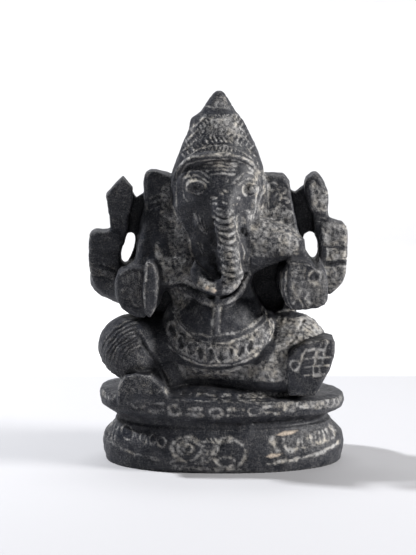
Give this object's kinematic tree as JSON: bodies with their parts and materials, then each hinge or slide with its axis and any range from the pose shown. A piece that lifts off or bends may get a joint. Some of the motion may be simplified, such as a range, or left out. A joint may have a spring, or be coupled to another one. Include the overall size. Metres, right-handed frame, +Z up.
{
  "type": "seated ganesha statuette",
  "caption": "Seated elephant-headed figure with four arms and a tall crown on a stepped oval plinth, carved from black stone with pale scratched ornament.",
  "frame": {"origin": "middle of the foot of the plinth, where it rests", "axes": "+Z up, the figure faces -Y, its right hand side is at -X"},
  "size_m": [0.1046, 0.06, 0.15],
  "materials": {
    "black_stone": "satin black stone with pale scratched ornament"
  },
  "bodies": {
    "root": {"plinth": "black_stone", "waist": "black_stone", "lotus_seat": "black_stone", "crown_finial": "black_stone", "crown_tier": "black_stone", "headband": "black_stone", "right_eye": "black_stone", "left_eye": "black_stone", "sweets": "black_stone", "trunk_tip": "black_stone", "trunk": "black_stone", "right_tusk": "black_stone", "left_tusk": "black_stone", "held_tusk": "black_stone", "right_front_hand": "black_stone", "left_front_hand": "black_stone", "right_goad": "black_stone", "left_lotus_bud": "black_stone", "right_rear_forearm": "black_stone", "left_rear_forearm": "black_stone", "right_rear_hand": "black_stone", "left_rear_hand": "black_stone", "right_foot": "black_stone", "left_foot": "black_stone", "head": "black_stone", "crown_cap": "black_stone", "right_ear": "black_stone", "left_ear": "black_stone", "right_front_arm": "black_stone", "left_front_arm": "black_stone", "right_rear_upper_arm": "black_stone", "left_rear_upper_arm": "black_stone", "right_web": "black_stone", "left_web": "black_stone", "right_shin": "black_stone", "left_shin": "black_stone", "sacred_thread": "black_stone", "necklace": "black_stone", "girdle": "black_stone", "belly": "black_stone", "belly_band": "black_stone", "right_thigh": "black_stone", "left_thigh": "black_stone", "chest": "black_stone", "back": "black_stone"}
  },
  "joints": []
}
